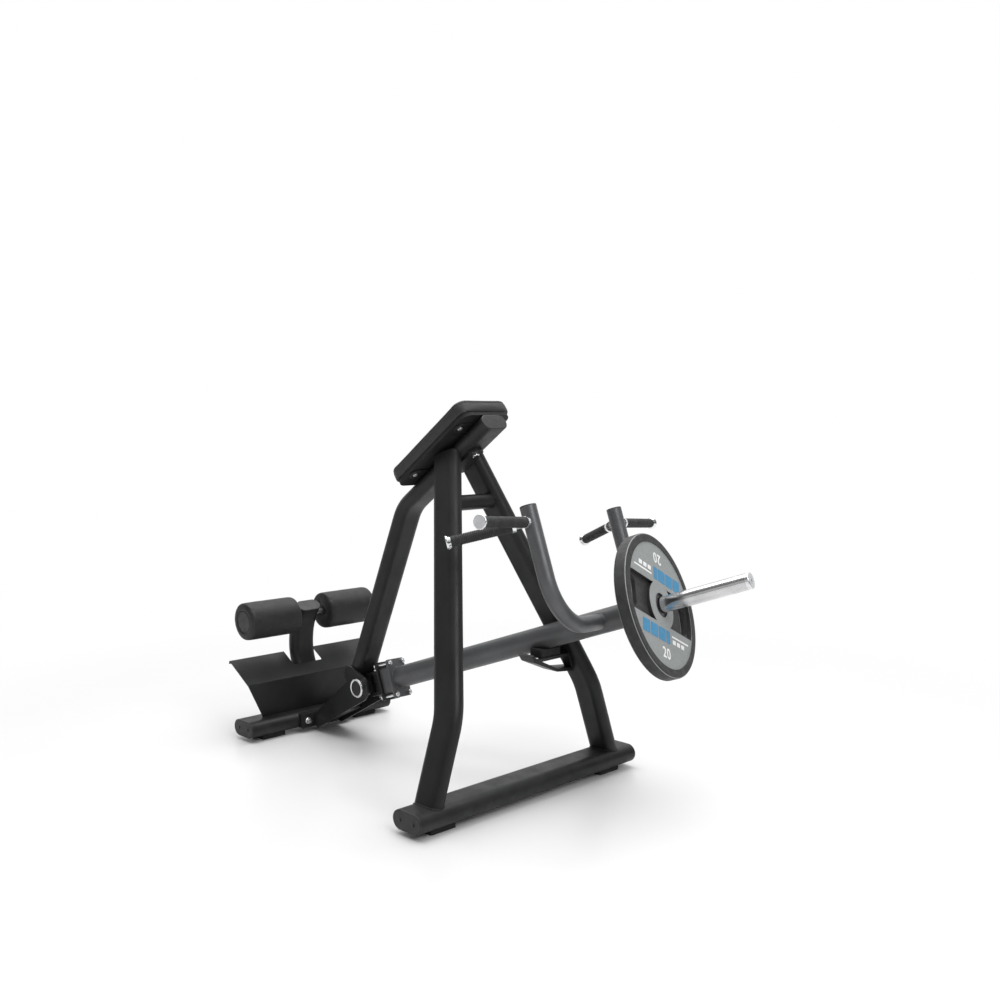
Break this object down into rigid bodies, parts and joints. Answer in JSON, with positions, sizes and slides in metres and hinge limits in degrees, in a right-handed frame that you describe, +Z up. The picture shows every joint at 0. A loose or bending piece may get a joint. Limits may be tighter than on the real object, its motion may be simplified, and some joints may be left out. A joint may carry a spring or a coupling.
{
  "type": "incline lever row machine",
  "caption": "Plate-loaded incline lever row with chest pad, foot plate, ankle rollers, a jointed lever with two handle arms and a removable weight plate.",
  "frame": {"origin": "on the floor, at the centre of the object's bounding box with the lever parked", "axes": "+X from the foot plate towards the weight plate, +Y to the side of the parking rest, +Z up"},
  "size_m": [1.7854, 1.2604, 1.2144],
  "materials": {
    "frame_coat": "satin graphite powder coat",
    "lever_coat": "satin mid-grey metallic powder coat",
    "black_plastic": "moulded black plastic",
    "black_steel": "blackened steel screws",
    "rubber": "moulded black rubber",
    "chrome": "polished chrome plate",
    "steel": "turned steel",
    "bronze": "sintered bronze bushing",
    "board": "black-faced plywood",
    "upholstery": "black grained vinyl over foam",
    "grip_rubber": "ribbed black rubber sleeve",
    "plate_rubber": "dark rubber over iron, grey printed face",
    "foam": "black vinyl skinned foam",
    "core_plastic": "moulded black tube"
  },
  "bodies": {
    "frame": {"front_base_tube": "frame_coat", "rear_base_tube": "frame_coat", "base_end_caps": "black_plastic", "base_cap_screws": "black_steel", "rubber_feet": "rubber", "leg_near": "frame_coat", "leg_far": "frame_coat", "leg_brace": "frame_coat", "spine_tube": "frame_coat", "spine_end_cap": "black_plastic", "head_plate": "frame_coat", "head_bolt": "chrome", "pad_brackets": "frame_coat", "pad_board": "board", "pad_screws": "black_steel", "chest_pad": "upholstery", "pivot_plates": "frame_coat", "pivot_flange": "frame_coat", "flange_bolts": "chrome", "pivot_web": "frame_coat", "pivot_shaft": "steel", "pivot_rings": "chrome", "pivot_ring_caps": "black_plastic", "foot_plate": "frame_coat", "foot_plate_gussets": "frame_coat", "roller_post": "frame_coat", "roller_post_cap": "black_plastic", "roller_axle": "steel", "axle_end_caps": "black_plastic", "park_rest": "frame_coat", "park_bumper": "rubber", "park_screws": "chrome"},
    "lift_hub": {"lift_hub": "frame_coat", "hub_bushings": "bronze", "yaw_pin": "chrome", "yaw_nut": "chrome"},
    "lever": {"lever_knuckle": "frame_coat", "knuckle_bushings": "bronze", "root_block": "lever_coat", "lever_flange": "lever_coat", "tie_bolts": "chrome", "lever_tube": "lever_coat", "plate_stop": "lever_coat", "plate_sleeve": "chrome", "sleeve_cap": "chrome", "sleeve_screw": "chrome", "yoke_arm_near": "lever_coat", "yoke_arm_far": "lever_coat", "yoke_caps": "black_plastic", "handle_bars": "steel", "grip_collars": "chrome", "grip_tips": "chrome", "outer_grips": "grip_rubber", "angled_grips": "grip_rubber"},
    "weight_plate": {"weight_plate": "plate_rubber", "plate_hub_ring": "steel"},
    "roller_near": {"roller_core_near": "core_plastic", "roller_foam_near": "foam"},
    "roller_far": {"roller_core_far": "core_plastic", "roller_foam_far": "foam"}
  },
  "joints": [
    {"name": "lever_lift", "type": "hinge", "parent": "frame", "child": "lift_hub", "pos_m": [-0.4347, -0.1477, 0.216], "axis": [0, -1, 0], "range_deg": [0, 24]},
    {"name": "lever_swing", "type": "hinge", "parent": "lift_hub", "child": "lever", "pos_m": [-0.38131, -0.1477, 0.23596], "axis": [-0.3502, 0, 0.9367], "range_deg": [-14.5, 0]},
    {"name": "plate_slide", "type": "slide", "parent": "lever", "child": "weight_plate", "axis": [0.9085, 0.2436, 0.3397], "range_m": [0, 0.33]},
    {"name": "roller_near_spin", "type": "hinge", "parent": "frame", "child": "roller_near", "pos_m": [-0.8187, -0.3197, 0.4275], "axis": [0, 1, 0], "continuous": true},
    {"name": "roller_far_spin", "type": "hinge", "parent": "frame", "child": "roller_far", "pos_m": [-0.8187, 0.0243, 0.4275], "axis": [0, 1, 0], "continuous": true}
  ],
  "couplings": [
    {"joint": "lever_swing", "follows": "lever_lift", "ratio": -0.5875}
  ]
}
